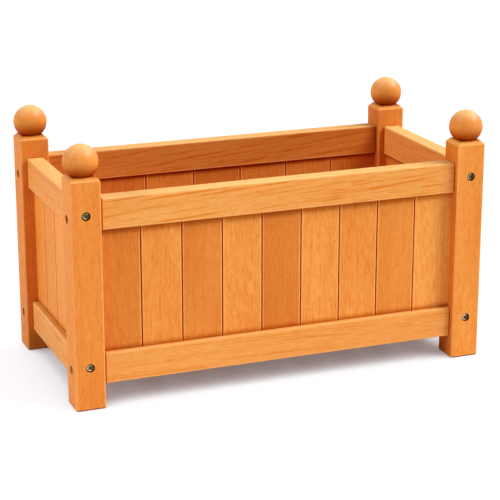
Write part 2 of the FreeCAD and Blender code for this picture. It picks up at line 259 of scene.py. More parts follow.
def swept(section: tuple[Array, Array], stations: Array, insets: Array, dirt_and_shade: Array) -> Surface:
    """Outline carried straight along z, with flat ends.

    Point (i, j) = outline j moved by inset i against its own normal, at height station i.

    Args:
        section: points of the outline, and the mark of wear and painted light of each.
        stations: heights of the rings.
        insets: how far each ring is drawn in.
        dirt_and_shade: how much each ring is darkened, as painted shade and dirt, from 0 to 1.

    Returns:
        The closed surface.
    """
    outline, wear = section
    tangent = np.roll(outline, -1, axis=0) - np.roll(outline, 1, axis=0)
    normal = np.stack([tangent[:, 1], -tangent[:, 0]], axis=1)
    normal /= np.linalg.norm(normal, axis=1, keepdims=True)
    points = lifted(outline[None] - normal[None] * insets[:, None, None], stations)
    marks = np.maximum(wear[None], (insets > 0)[:, None] * 1.0)
    marks = np.where(wear[None] < 0, wear[None], marks)
    marks = np.where(dirt_and_shade[:, None] > 0, np.minimum(-dirt_and_shade[:, None], marks), marks)
    numbers = np.arange(len(points)).reshape(len(stations), -1)
    return Surface(points, [ring_faces(numbers), numbers[:1, ::-1], numbers[-1:]], marks.reshape(-1))


def eased_ends(low: float, high: float, radius: float) -> tuple[Array, Array]:
    """Stations along a piece with quarter-round ends, and how far each is drawn in.

    At an end, for t from 0 to 90 degrees: depth = r (1 - sin t) and inset = r (1 - cos t).

    Args:
        low: the lower end.
        high: the upper end.
        radius: radius of the quarter rounds.

    Returns:
        The stations, and the inset at each.
    """
    t = np.linspace(QUARTER_TURN, 0, ARC_STEPS)
    depth, inset = radius * (1 - np.sin(t)), radius * (1 - np.cos(t))
    middle = np.linspace(low + 3 * radius, high - 3 * radius, max(2, int((high - low) / STATION_STEP)))
    return np.r_[low + depth, middle, high - depth[::-1]], np.r_[inset, 0 * middle, inset[::-1]]


def housed_ends(low: float, high: float, hidden: float, dirt_and_shade: Pair, fade: Pair) -> tuple[Array, Array]:
    """Stations along a piece whose ends are housed, darkened where it comes out of its housings.

    Args:
        low: the lower end.
        high: the upper end.
        hidden: length of each end that is housed.
        dirt_and_shade: how much each end is darkened, from 0 to 1.
        fade: length over which the darkening of each end fades.

    Returns:
        The stations, and the darkening at each.
    """
    start, end = low + hidden, high - hidden
    middle = np.linspace(start + fade[0], end - fade[1], max(2, int((high - low) / STATION_STEP)))
    return np.r_[low, start, middle, end, high], np.r_[[dirt_and_shade[0]] * 2, 0 * middle, [dirt_and_shade[1]] * 2]


def turned(radii: Array, heights: Array, wear: Array, ring: int) -> Surface:
    """Surface of revolution about z from rings of radius and height, closed by a fan at each end.

    Point (i, j) = (radius ij cos(phi j), radius ij sin(phi j), height i), with phi j = 2 pi j / ring.

    Args:
        radii: a radius for each ring, or for each point of each ring, as a hexagon's are.
        heights: height of each ring.
        wear: mark of wear and painted light of each ring, or of each point of each ring.
        ring: number of points in a ring.

    Returns:
        The closed surface.
    """
    phi = np.arange(ring) * FULL_TURN / ring
    rows = len(heights)
    radius, marks = (np.broadcast_to(values.T, (ring, rows)).T for values in (radii, wear))
    points = lifted(np.stack([radius * np.cos(phi), radius * np.sin(phi)], axis=-1), heights)
    poles = np.array([[0.0, 0.0, heights[0]], [0.0, 0.0, heights[-1]]])
    numbers = np.arange(rows * ring).reshape(rows, ring)
    first, last = numbers[0], numbers[-1]
    bottom = np.stack([np.roll(first, -1), first, np.full(ring, rows * ring)], axis=1)
    top = np.stack([last, np.roll(last, -1), np.full(ring, rows * ring + 1)], axis=1)
    marks = np.r_[marks.reshape(-1), marks[[0, -1], 0]]
    return Surface(np.concatenate([points, poles]), [ring_faces(numbers), bottom, top], marks)


def operation(kind: str, swapped: bool = False) -> Callable[..., "Value"]:
    """Method of a value that adds a Math node on it and another value or number.

    Args:
        kind: the node's operation.
        swapped: whether the value itself comes second.

    Returns:
        The method.
    """
    def method(value: "Value", other: Any = 0.0) -> "Value":
        """Math node on a value and another."""
        pair = (other, value) if swapped else (value, other)
        return value.tree.add("ShaderNodeMath", {"operation": kind}, dict(enumerate(pair)))

    return method


class Value:
    """A shader socket with arithmetic: each operation adds a Math node."""

    def __init__(self, tree: "Tree", socket: bpy.types.NodeSocket) -> None:
        """Wraps an output socket of a tree."""
        self.tree = tree
        self.socket = socket

    __add__ = __radd__ = operation("ADD")
    __mul__ = __rmul__ = operation("MULTIPLY")
    __sub__, __rsub__ = operation("SUBTRACT"), operation("SUBTRACT", swapped=True)
    __truediv__ = operation("DIVIDE")
    fraction = operation("FRACT")
    largest, smallest = operation("MAXIMUM"), operation("MINIMUM")

    def between(self, low: float, high: float) -> "Value":
        """0 below low, 1 above high and a smooth step between."""
        settings = {"interpolation_type": "SMOOTHSTEP"}
        return self.tree.add("ShaderNodeMapRange", settings, {"Value": self, 1: low, 2: high})


class Tree:
    """The node tree of a material or world."""

    def __init__(self, owner: Any) -> None:
        """Turns the owner's nodes on and empties its tree.

        Args:
            owner: a material or a world.
        """
        owner.use_nodes = True
        self.nodes, self.links = owner.node_tree.nodes, owner.node_tree.links
        self.nodes.clear()

    def add(self, kind: str, settings: Mapping[str, Any] = {}, inputs: Mapping[Any, Any] = {},
            output: Union[int, str] = 0) -> Value:
        """Adds one node.

        Args:
            kind: type name of the node.
            settings: its properties, set first.
            inputs: a number, a tuple or a value for each socket, by name or number.
            output: the wanted output socket.

        Returns:
            That output.
        """
        node = self.nodes.new(kind)
        for key, setting in settings.items():
            setattr(node, key, setting)
        for key, given in inputs.items():
            socket = node.inputs[key]
            if isinstance(given, Value):
                self.links.new(given.socket, socket)
            else:
                socket.default_value = (*given, 1.0) if socket.type == "RGBA" else given
        return Value(self, node.outputs[output] if node.outputs else None)

    def vector(self, operation: str, first: Any, second: Any = (0.0, 0.0, 0.0),
               output: Union[int, str] = 0) -> Value:
        """Vector Math node."""
        return self.add("ShaderNodeVectorMath", {"operation": operation}, {0: first, 1: second}, output)

    def blend(self, factor: Any, first: Any, second: Any, how: str = "MIX") -> Value:
        """Mix of two colours, by the node's colour sockets."""
        settings = {"data_type": "RGBA", "blend_type": how}
        return self.add("ShaderNodeMix", settings, {0: factor, 6: first, 7: second}, 2)

    def ramp(self, place: Value, stops: Stops) -> Value:
        """Colour at a place among stops.

        Args:
            place: the place, from 0 to 1.
            stops: place and colour of each stop.

        Returns:
            The colour.
        """
        colour = self.add("ShaderNodeValToRGB", {}, {0: place})
        elements = colour.socket.node.color_ramp.elements
        while len(elements) < len(stops):
            elements.new(1.0)
        for element, (stop, shade) in zip(elements, stops):
            element.position, element.color = stop, (*shade, 1.0)
        return colour

    def mark(self, name: str, output: str = "Fac") -> Value:
        """One of a piece's own marks."""
        return self.add("ShaderNodeAttribute", {"attribute_name": name}, {}, output)

    def noise(self, place: Value, kind: Noise, output: str = "Fac") -> Value:
        """Noise from 0 to 1.

        Args:
            place: where it is read.
            kind: which noise it is.
            output: "Fac" for one number, "Color" for three.

        Returns:
            The noise.
        """
        along, across, detail, rough = kind.value
        at = self.vector("MULTIPLY", place, (along, across, across))
        inputs = {"Vector": at, "Scale": 1.0, "Detail": detail, "Roughness": rough}
        return self.add("ShaderNodeTexNoise", {}, inputs, output)

    def relief(self, height: Value, distance: float, strength: float) -> Value:
        """Bump from a height."""
        inputs = {"Height": height, "Distance": distance, "Strength": strength}
        return self.add("ShaderNodeBump", {}, inputs)

    def surface(self, inputs: Mapping[Any, Any]) -> None:
        """Ends the tree with a principled surface."""
        shader = self.add("ShaderNodeBsdfPrincipled", {}, inputs)
        self.add("ShaderNodeOutputMaterial", {}, {"Surface": shader})


@dataclass(frozen=True)
class Finish:
    """A finish: the name of its material, and the name of a slot, which nothing here reads."""

    name: str
    slot: str

    def draw(self, tree: Tree) -> None:
        """Adds the finish's nodes to its material's tree."""
        raise NotImplementedError

    def material(self) -> bpy.types.Material:
        """The finish's material, made once."""
        if self.name not in bpy.data.materials:
            self.draw(Tree(bpy.data.materials.new(self.name)))
        return bpy.data.materials[self.name]


@dataclass(frozen=True)
class TimberFinish(Finish):
    """Oiled hardwood, drawn from each point's place in its log.

    Growth rings are bands of the distance from the heart, bent and spaced by slow noise. Fibres,
    pores and streaks are noises drawn out along the grain. Arrises are paler, part wear and part
    painted highlight; faces that look at the sky carry painted top light, faces that look down
    painted shade, and corners, recesses and places under other parts painted shade, besides the
    dark joints.
    """

    pale: Colour
    middle: Colour
    deep: Colour
    ring_width: float = 3.6 * MM
    grain_tint: Colour = (0.28, 0.95, 1.85)
    figure: float = 0.40
    streaks: float = 0.34
    lines: float = 0.21
    fibres: float = 0.72
    mottle: float = 0.70
    roughness: float = 0.46
    gloss: float = 0.04
    sheen: float = 0.0
    # paler arrises, part wear and part painted highlight
    worn_highlit_edge_tone: float = 0.30
    worn_highlit_edge_pale: float = 0.35
    # painted top light on faces that look up
    top_light: float = 0.38
    # painted shade on faces that look down, from a rise of shade_from
    underside_shade: float = 0.60
    shade_from: float = 0.0

    BEND: ClassVar[Colour] = (0.0, 22 * MM, 22 * MM)
    SPACING_SHIFT: ClassVar[float] = 2.4
    RING_MIDDLE: ClassVar[float] = 0.44
    RING_STOPS: ClassVar[Stops] = tuple((place, (grey,) * 3) for place, grey in (
        (0.0, 0.47), (0.45, 0.54), (0.78, 0.42), (0.92, 0.14), (1.0, 0.47)))
    # colour of the painted highlight on rubbed arrises
    RUBBED: ClassVar[Colour] = (1.0, 0.58, 0.24)
    # colour of the painted top light
    TOP_LIGHT_TINT: ClassVar[Colour] = (1.0, 0.56, 0.20)
    # colour of the painted shade underneath
    OILED: ClassVar[Colour] = (0.66, 0.36, 0.14)
    # darkening for marks below 0: painted shade in corners, recesses and under parts, with the red-brown of
    # dark joints at 0.80
    SHADE_AND_JOINT_STOPS: ClassVar[Stops] = (
        (0.0, (1.0, 1.0, 1.0)), (0.36, (0.68, 0.48, 0.18)), (0.64, (0.36, 0.10, 0.0)),
        (0.80, (0.85, 0.16, 0.0)), (1.0, (0.17, 0.11, 0.05)))
    SHADE_AND_JOINT_REACH: ClassVar[float] = 0.8
    SHEEN_ROUGHNESS: ClassVar[float] = 0.42
    # spans of a noise or of the rise of a face, over which something sets in
    PATCHY: ClassVar[Pair] = (0.34, 0.66)
    LINED: ClassVar[Pair] = (0.52, 0.72)
    PORED: ClassVar[Pair] = (0.60, 0.72)
    TOP_LIT_SPAN: ClassVar[Pair] = (0.55, 0.95)
    SHADED: ClassVar[Pair] = (0.0, 0.75)
    SHINING: ClassVar[Pair] = (0.32, 0.72)
    # shares of what each is named after
    PLAIN_SHARE: ClassVar[float] = 0.35
    PORE_DEPTH: ClassVar[float] = 0.10
    EVEN_CLOUD_FIBRE_WORN: ClassVar[Colour] = (0.75, 0.6, 0.5)
    CLOUD_TONE_DEPTH: ClassVar[Pair] = (0.46, 0.30)
    FIBRE_PORE_WORN_ROUGH: ClassVar[Colour] = (0.22, 0.12, 0.05)
    FIBRE_PORE_RELIEF: ClassVar[Pair] = (0.6, 0.5)
    RELIEF_DISTANCE_STRENGTH: ClassVar[Pair] = (0.10 * MM, 0.5)

    def _grain(self, tree: Tree, place: Value, fibres: Value) -> Value:
        """How much paler (above 0) or deeper the grain makes each point.

        Args:
            tree: the material's tree.
            place: the point's place in its log.
            fibres: the noise of the fibres.

        Returns:
            The change, as a share of the colour.
        """
        figure = tree.mark(FIGURE_MARK)
        bend = tree.vector("SUBTRACT", tree.noise(place, Noise.BENDS, "Color"), (0.5, 0.5, 0.5))
        bent = tree.vector("ADD", place, tree.vector("MULTIPLY", bend, self.BEND))
        out = tree.vector("LENGTH", tree.vector("MULTIPLY", bent, (0.0, 1.0, 1.0)), output="Value")
        spacing = tree.noise(place, Noise.RING_SPACING) * self.SPACING_SHIFT
        rings = tree.ramp((out / self.ring_width + spacing).fraction(), self.RING_STOPS)
        strength = tree.noise(place, Noise.RING_PATCHES).between(*self.PATCHY) * self.figure
        streaks = tree.noise(bent, Noise.STREAKS)
        lines = tree.noise(bent, Noise.LINES).between(*self.LINED)
        mottle = tree.noise(bent, Noise.MOTTLE)
        along = (streaks - 0.5) * self.streaks - lines * self.lines
        along = along * (self.PLAIN_SHARE + (1 - self.PLAIN_SHARE) * figure)
        grain = (rings - self.RING_MIDDLE) * strength * figure + along
        return grain + (mottle - 0.5) * self.mottle + (fibres - 0.5) * self.fibres

    def _with_wear_and_painted_light(self, tree: Tree, colour: Value, worn_highlit: Value, wear: Value, rise: Value) -> Value:
        """Colour with wear and painted highlight on arrises, painted top light, painted shade below and in
        corners, and dark joints.

        Args:
            tree: the material's tree.
            colour: the timber's colour.
            worn_highlit: how rubbed each point is, which also sets its painted highlight.
            wear: its mark of wear and painted light.
            rise: how far its face looks up, from -1 to 1.

        Returns:
            The colour with its wear, dark joints and painted light.
        """
        colour = tree.blend(worn_highlit * self.worn_highlit_edge_pale, colour, self.RUBBED)
        # painted top light on faces that look up
        top_lit_colour = tree.blend(1.0, colour, self.TOP_LIGHT_TINT, "SCREEN")
        colour = tree.blend(rise.between(*self.TOP_LIT_SPAN) * self.top_light, colour, top_lit_colour)
        # painted shade on faces that look down
        under_shaded = tree.blend(1.0, colour, self.OILED, "MULTIPLY")
        shaded = (self.shade_from - rise).between(*self.SHADED)
        colour = tree.blend(shaded * self.underside_shade, colour, under_shaded)
        # painted shade and dark joints where the mark is below 0
        return tree.blend(1.0, colour, tree.ramp(wear * -self.SHADE_AND_JOINT_REACH, self.SHADE_AND_JOINT_STOPS), "MULTIPLY")

    def draw(self, tree: Tree) -> None:
        """Adds the timber's nodes.

        Args:
            tree: the material's tree.
        """
        place = tree.mark(PLACE_MARK, "Vector")
        wear = tree.mark(WEAR_AND_SHADE_MARK)
        clouds = tree.noise(place, Noise.CLOUDS)
        fibres = tree.noise(place, Noise.FIBRES)
        pores = tree.noise(place, Noise.PORES).between(*self.PORED)
        even, cloudy, fibrous = self.EVEN_CLOUD_FIBRE_WORN
        # arrises rubbed pale, which also carry a painted highlight
        worn_highlit = wear.largest(0.0) * (even + cloudy * (clouds - 0.5) + fibrous * (fibres - 0.5))
        cloudy, toned = self.CLOUD_TONE_DEPTH
        depth = (clouds - 0.5) * cloudy + tree.mark(TONE_MARK) * toned + worn_highlit * self.worn_highlit_edge_tone + 0.5
        colour = tree.ramp(depth, ((0.10, self.deep), (0.50, self.middle), (0.90, self.pale)))
        grain = self._grain(tree, place, fibres) - pores * self.PORE_DEPTH
        tint = tree.vector("ADD", tree.vector("MULTIPLY", grain, self.grain_tint), (1.0, 1.0, 1.0))
        colour = tree.vector("MULTIPLY", colour, tree.vector("MAXIMUM", tint))
        normal = tree.add("ShaderNodeNewGeometry", {}, {}, "Normal")
        rise = tree.vector("DOT_PRODUCT", normal, tuple(UP), "Value")
        fibrous, porous, rubbed = self.FIBRE_PORE_WORN_ROUGH
        roughness = self.roughness + (0.5 - fibres) * fibrous + pores * porous - worn_highlit * rubbed
        fibrous, porous = self.FIBRE_PORE_RELIEF
        tree.surface({
            "Base Color": self._with_wear_and_painted_light(tree, colour, worn_highlit, wear, rise),
            "Roughness": roughness.between(0, 1),
            "Specular IOR Level": self.gloss,
            "Coat Weight": rise.between(*self.SHINING) * self.sheen,
            "Coat Roughness": self.SHEEN_ROUGHNESS,
            "Normal": tree.relief(fibres * fibrous - pores * porous, *self.RELIEF_DISTANCE_STRENGTH),
        })


@dataclass(frozen=True)
class SteelFinish(Finish):
    """Plated steel of the bolts: a fine turned lay, dull patches, painted shade in its corners and recesses,
    and painted glints.
    """

    bright: Colour
    dull: Colour
    # colour of the painted glints, and of the painted shade in corners and recesses
    rubbed: Colour = (0.95, 0.86, 0.70)
    corner: Colour = (0.060, 0.016, 0.006)
    gloss: float = 0.1

    DULLED: ClassVar[Pair] = (0.35, 0.7)
    # shares of painted shade and of painted glint
    CORNER_SHARE: ClassVar[float] = 0.9
    GLINT_SHARE: ClassVar[float] = 0.6
    EVEN_PATCH_CORNER_ROUGH: ClassVar[Colour] = (0.16, 0.16, 0.6)
    PATCH_RELIEF: ClassVar[float] = 0.4
    RELIEF_DISTANCE_STRENGTH: ClassVar[Pair] = (0.05 * MM, 0.3)

    def draw(self, tree: Tree) -> None:
        """Adds the steel's nodes.

        Args:
            tree: the material's tree.
        """
        place = tree.mark(PLACE_MARK, "Vector")
        wear = tree.mark(WEAR_AND_SHADE_MARK)
        patches = tree.noise(place, Noise.STEEL_PATCHES)
        lay = tree.noise(place, Noise.STEEL_LAY)
        # painted shade where the mark is below 0, painted glint where it is above
        shaded_corner = (0.0 - wear).largest(0.0)
        rubbed = wear.largest(0.0).smallest(1.0)
        colour = tree.blend(patches.between(*self.DULLED), self.bright, self.dull)
        colour = tree.blend(rubbed, colour, self.rubbed)
        even, patchy, shaded_share = self.EVEN_PATCH_CORNER_ROUGH
        height = lay + patches * self.PATCH_RELIEF
        tree.surface({
            "Base Color": tree.blend(shaded_corner * self.CORNER_SHARE, colour, self.corner),
            "Metallic": (1.0 - rubbed * self.GLINT_SHARE - shaded_corner).largest(0.0),
            "Roughness": even + patches * patchy + shaded_corner * shaded_share,
            "Specular IOR Level": self.gloss,
            "Normal": tree.relief(height, *self.RELIEF_DISTANCE_STRENGTH),
        })


@dataclass(frozen=True)
class Palette:
    """The planter's finishes, each with a slot name of its own."""

    # the posts' arrises are paler, part wear and part painted highlight
    posts: Finish = TimberFinish(
        "oiled_post_timber", "post_timber",
        (0.96, 0.365, 0.074), (0.84, 0.272, 0.047), (0.66, 0.165, 0.021),
        figure=0.35, ring_width=4.5 * MM, worn_highlit_edge_tone=0.16, worn_highlit_edge_pale=0.22)
    rails: Finish = TimberFinish(
        "oiled_rail_timber", "rail_timber",
        (0.98, 0.455, 0.127), (0.885, 0.348, 0.081), (0.71, 0.210, 0.034),
        figure=0.16, ring_width=5 * MM, streaks=0.08, lines=0.40, fibres=0.66, mottle=0.40)
    boards: Finish = TimberFinish(
        "oiled_board_timber", "board_timber",
        (0.98, 0.395, 0.084), (0.855, 0.292, 0.053), (0.685, 0.188, 0.028))
    # the balls carry painted top light and painted shade underneath
    turnings: Finish = TimberFinish(
        "oiled_turned_timber", "turned_timber",
        (0.92, 0.396, 0.096), (0.82, 0.301, 0.063), (0.70, 0.214, 0.036),
        figure=0.26, streaks=0.42, lines=0.16, fibres=0.26, mottle=0.30, roughness=0.48,
        sheen=1.0, top_light=0.42, underside_shade=0.95, shade_from=0.28)
    # the slats carry a faint painted top light
    floor: Finish = TimberFinish(
        "planed_floor_timber", "floor_timber",
        (0.84, 0.38, 0.100), (0.70, 0.250, 0.055), (0.50, 0.150, 0.025),
        roughness=0.52, top_light=0.10)
    bolts: Finish = SteelFinish(
        "plated_bolt_steel", "bolt_steel", (0.23, 0.205, 0.09), (0.10, 0.085, 0.03))


@dataclass(frozen=True)
class Log:
    """Where a piece was in its log: gives each point its place along and out from the heart.

    In the piece's own axes, across and through are measured from the heart, which lies at an offset
    from the piece's middle and leans with the distance along the grain.
    """

    sawing: Sawing
    seed: int
    tone: float = 0.0

    SPREAD: ClassVar[Pair] = (0.75, 1.25)
    TREE_HEIGHT: ClassVar[float] = 9.0

    def places(self, points: Array, axes: Array) -> Array:
        """Place of each point: along the log, and its two distances from the heart.

        Args:
            points: the piece's points.
            axes: rows across, through and along the grain.

        Returns:
            One (along, across, through) row for each point.
        """
        rng = np.random.default_rng(self.seed)
        across, through, lean_across, lean_through, _ = self.sawing.value
        signs = rng.choice([-1.0, 1.0], 4)
        spread = rng.uniform(*self.SPREAD, 4)
        x, y, z = ((points - (points.min(axis=0) + points.max(axis=0)) / 2) @ axes.T).T
        p = x + across * spread[0] * signs[0] + z * spread[2] * signs[2] * lean_across
        q = y + through * spread[1] * signs[1] + z * spread[3] * signs[3] * lean_through
        return np.stack([z + rng.uniform(0, self.TREE_HEIGHT), p, q], axis=1)


def add_piece(name: str, surface: Surface, axes: Array, finish: Finish, nodes: Sequence[str],
              log: Optional[Log] = None) -> None:
    """Puts a surface into the scene as a smooth, dressed piece with its marks.

    Its object stays at the origin and rides on the planter's one body.

    Args:
        name: the piece's name.
        surface: its points, faces, and marks of wear and painted light.
        axes: rows across, through and along its grain, or the axes of a turned piece.
        finish: what it is dressed in.
        nodes: nodes of the frame that it stands for.
        log: where it was in its log, for timber.
    """
    points = surface.points
    places = log.places(points, axes) if log else points @ axes.T
    tone, figure = (log.tone, log.sawing.figure) if log else (0.0, 0.0)
    mesh = bpy.data.meshes.new(name)
    mesh.from_pydata(points.tolist(), [], [face for group in surface.faces for face in group.tolist()])
    mesh.attributes.new(PLACE_MARK, "FLOAT_VECTOR", "POINT").data.foreach_set("vector", places.ravel())
    alike = {TONE_MARK: np.full(len(points), tone), FIGURE_MARK: np.full(len(points), figure)}
    for mark, values in {WEAR_AND_SHADE_MARK: surface.wear, **alike}.items():
        mesh.attributes.new(mark, "FLOAT", "POINT").data.foreach_set("value", values)
    mesh.shade_smooth()
    mesh.set_sharp_from_angle(angle=SHARP_ANGLE)
    mesh.materials.append(finish.material())
    piece = bpy.data.objects.new(name, mesh)
    bpy.context.scene.collection.objects.link(piece)
    piece.modifiers.new("even_faces", "WEIGHTED_NORMAL").keep_sharp = True
    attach(piece, "root")
    for node in nodes:
        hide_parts(node)
    LOG.info("%s: %d faces, stands for %s", name, len(mesh.polygons), ", ".join(nodes) or "no node")


@dataclass
class BoltPlaces:
    """Where the bolts stand, read from the frame's bolt groups."""

    head_radius: float = 6.0 * MM

    def middles(self, side: Side) -> tuple[Array, Array]:
        """Middles of a side's lowest and highest bolt, inward, up and along it."""
        low, high = extent(side.label + "_bolts", side.rail_axes)
        return low + self.head_radius, high - self.head_radius


@dataclass
class CornerPosts:
    """Four posts with rounded arrises, an eased foot, a hipped top and wells for the bolts."""

    palette: Palette
    bolts: BoltPlaces
    arris: float = 2.5 * MM
    hip_arris: float = 1.4 * MM
    foot_ease: float = 2.0 * MM
    hip: float = 6.5 * MM
    edge_round: float = 1.0 * MM
    crown_rings: Pair = (1.6, 2.4)
    well_radius: float = 7.2 * MM
    well_depth: float = 5.0 * MM
    well_lip: float = 0.5 * MM
    well_floor: Pair = (4.0 * MM, 1.0 * MM)
    # wear on the well's lip, painted shade on its wall and floor
    well_wear_and_shade: tuple[float, ...] = (0.0, 0.2, 0.5, 0.2, -0.4, -0.8, -0.8, -0.8, -0.8, -0.8)
    well_steps: int = 5
    window: float = 9.0 * MM
    window_cells: int = 9
    margin: float = 0.95
    # painted contact shade at the foot
    foot_shade: float = -1.25
    foot_share: float = 0.7
    # painted shade on the inner side, wear and painted highlight on the crown's edges and the arrises'
    # margins, painted shade on the crown round the ball, and a weaker painted shade in the end wells
    inner_shade: float = 0.33
    crown_edge_wear_and_highlight: float = 0.8
    margin_wear_and_highlight: float = 0.5
    ball_shade: tuple[float, float, float] = (0.4, 1.2, 0.80)
    end_shade: float = 0.5
    tones: tuple[float, ...] = (0.12, 0.78, -0.30, 0.20)
    first_seed: int = 11

    def _ring(self, half: Array, radius: Array, fractions: Array) -> Array:
        """Rounded squares.

        The front side's points lie at fractions of its flat stretch, and its corner is the quarter
        circle (f + r sin t, -f - r cos t), f being half the flat. The other sides are the same,
        turned by quarter turns.

        Args:
            half: half the side of each square.
            radius: radius of each square's corners.
            fractions: places of the points on a side's flat stretch, from -1 to 1.

        Returns:
            The points of each square.
        """
        t = np.linspace(0, QUARTER_TURN, ARC_STEPS + 2)[1:-1]
        half, r = half[:, None], radius[:, None]
        flat = half - r
        x = np.hstack([flat * fractions, flat + r * np.sin(t)])
        y = np.hstack([-half + 0 * fractions, -flat - r * np.cos(t)])
        return np.hstack([np.stack(pair, axis=-1) for pair in ((x, y), (-y, x), (-x, -y), (y, -x))])

    def _rows(self, height: float, heights: Sequence[float]) -> tuple[Array, Array]:
        """Heights of a post's rings, and how far each is drawn in.

        The foot is a quarter round, the top a straight hip with both its edges rounded, and rings
        stand at even steps past each bolt.

        Args:
            height: the post's height.
            heights: heights of its bolts.

        Returns:
            The heights, in rising order, and the insets.
        """
        t = np.linspace(0, QUARTER_TURN, ARC_STEPS)
        foot, beyond, shoulder = self.foot_ease, 3 * self.hip, height - self.hip
        corners = [(beyond, 0.0), (beyond, height), (self.hip, height), (0.0, shoulder), (0.0, 0.0)]
        edge, _ = fillet(corners, self.edge_round, self.edge_round)
        edge = edge[(edge[:, 0] < 2 * self.hip) & (edge[:, 1] > shoulder / 2)][::-1]
        crown = np.concatenate([edge, [[share * self.hip, height] for share in self.crown_rings]])
        past = [np.linspace(z - self.window, z + self.window, self.window_cells + 1) for z in heights]
        straight = np.unique(np.round([*np.ravel(past), 2.5 * foot, height / 2], 6))
        rows = np.r_[foot * (1 - np.sin(t))[::-1], straight, crown[:, 1]]
        insets = np.r_[foot * (1 - np.cos(t))[::-1], 0 * straight, crown[:, 0]]
        order = np.argsort(rows, kind="stable")
        return rows[order], np.maximum(insets[order], 0.0)

    def _marks(self, rows: Array, insets: Array, height: float) -> Array:
        """Wear and painted light of a post: pale arrises with a painted highlight, and painted shade on the
        crown, at the foot and on the inner side.

        Args:
            rows: heights of the rings.
            insets: how far each is drawn in.
            height: the post's height.

        Returns:
            The mark of wear and painted light of each point of each ring.
        """
        upper = rows > height / 2
        flat = np.zeros(self.window_cells + 3)
        side = np.r_[self.margin_wear_and_highlight, flat, self.margin_wear_and_highlight, np.ones(ARC_STEPS)]
        edges = upper & (insets > 0) & (insets < self.edge_round)
        wear = np.maximum(np.tile(side, 4)[None], edges[:, None] * self.crown_edge_wear_and_highlight)
        # painted shade on the inner side
        inner = np.repeat([False, True, False, False], len(side))[None] & (insets == 0)[:, None]
        wear = np.where(inner & (wear <= 0), -self.inner_shade, wear)
        # painted shade on the crown round the ball, and painted contact shade at the foot
        start, most, strength = self.ball_shade
        shaded = np.where(upper, np.clip(insets / self.hip - start, 0, most) * strength, 0.0)[:, None]
        wear = np.where(shaded > 0, -shaded, wear)
        return np.where((rows < self.foot_share * self.foot_ease)[:, None], self.foot_shade, wear)

    def _well(self, rim: Array, middle: Array, axes: Array) -> tuple[Array, Array]:
        """Rings of a bolt's well: face, rounded lip, wall and floor.

        The first ring is halfway from the window's outline to the circle. The lip is the quarter
        circle (R + l (1 - sin t), l (1 - cos t)) of radius and depth.

        Args:
            rim: points of the window's outline.
            middle: middle of the window.
            axes: rows along the face, up and out of it.

        Returns:
            The points of the rings, and the mark of each: wear on the lip, painted shade on the wall and
            floor.
        """
        local = (rim - middle) @ axes.T
        angle = np.arctan2(local[:, 1], local[:, 0])
        circle = np.stack([np.cos(angle), np.sin(angle), 0 * angle], axis=1)
        radius, lip, depth = self.well_radius, self.well_lip, self.well_depth
        outer = radius + lip
        t = np.linspace(0, QUARTER_TURN, self.well_steps)
        radii = np.r_[outer - lip * np.sin(t), radius, radius, self.well_floor]
        depths = np.r_[lip * (1 - np.cos(t)), depth * 0.5, [depth] * 3]
        rings = [0.5 * local + 0.5 * outer * circle]
        rings += [r * circle - [0, 0, d] for r, d in zip(radii, depths)]
        return np.concatenate(rings) @ axes + middle, np.repeat(self.well_wear_and_shade, len(rim))

    def _post(self, half: float, height: float, bolts: Sequence[tuple[int, float, float]]) -> Surface:
        """Post about the z axis, with wells for its bolts.

        Its rings are a grid of quads. Round each bolt a window of the grid is left out, and the
        rings of the bolt's well are joined to the window's outline.

        Args:
            half: half its side.
            height: its height.
            bolts: quarter turns to each bolt's side from the front, its height and the strength of its well's
                painted shade.

        Returns:
            The post's surface.
        """
        rows, insets = self._rows(height, [z for _, z, _ in bolts])
        columns = np.linspace(-self.window, self.window, self.window_cells + 1) / (half - self.arris)
        fractions = np.r_[-1.0, -self.margin, columns, self.margin, 1.0]
        taper = np.clip((rows - height + self.hip) / self.hip, 0, 1)
        radius = self.arris + (self.hip_arris - self.arris) * taper
        rings = self._ring(half - insets, radius, fractions)
        side = rings.shape[1] // 4
        points = [lifted(rings, rows)]
        wear = [self._marks(rows, insets, height).reshape(-1)]
        numbers = np.arange(len(points[0])).reshape(len(rows), -1)
        quads = ring_faces(numbers).reshape(len(rows) - 1, -1, 4)
        kept = np.ones(quads.shape[:2], bool)
        wells = []
        total = numbers.size
        for turn, z, dirt_and_shade in bolts:
            first = turn * side + 2
            last = first + self.window_cells
            low, high = (int(np.argmin(np.abs(rows - z - way * self.window))) for way in (-1, 1))
            kept[low:high, first:last] = False
            block = numbers[low:high + 1, first:last + 1]
            rim = np.concatenate([block[0, :-1], block[:-1, -1], block[-1, :0:-1], block[:0:-1, 0]])
            along = np.array([math.cos(turn * QUARTER_TURN), math.sin(turn * QUARTER_TURN), 0.0])
            outward = np.cross(along, UP)
            axes = np.array([along, UP, outward])
            placed, marks = self._well(points[0][rim], outward * half + UP * z, axes)
            stack = np.r_[rim, np.arange(len(placed)) + total].reshape(-1, len(rim))
            wells += [ring_faces(stack), stack[-1:]]
            points.append(placed)
            # the well's painted shade, scaled for each side
            wear.append(np.where(marks < 0, marks * dirt_and_shade, marks))
            total += len(placed)
        faces = [quads[kept], *wells, numbers[:1, ::-1], numbers[-1:]]
        return Surface(np.concatenate(points), faces, np.concatenate(wear))

    def build(self) -> None:
        """Makes the four posts, each the mirror image of the front left one."""
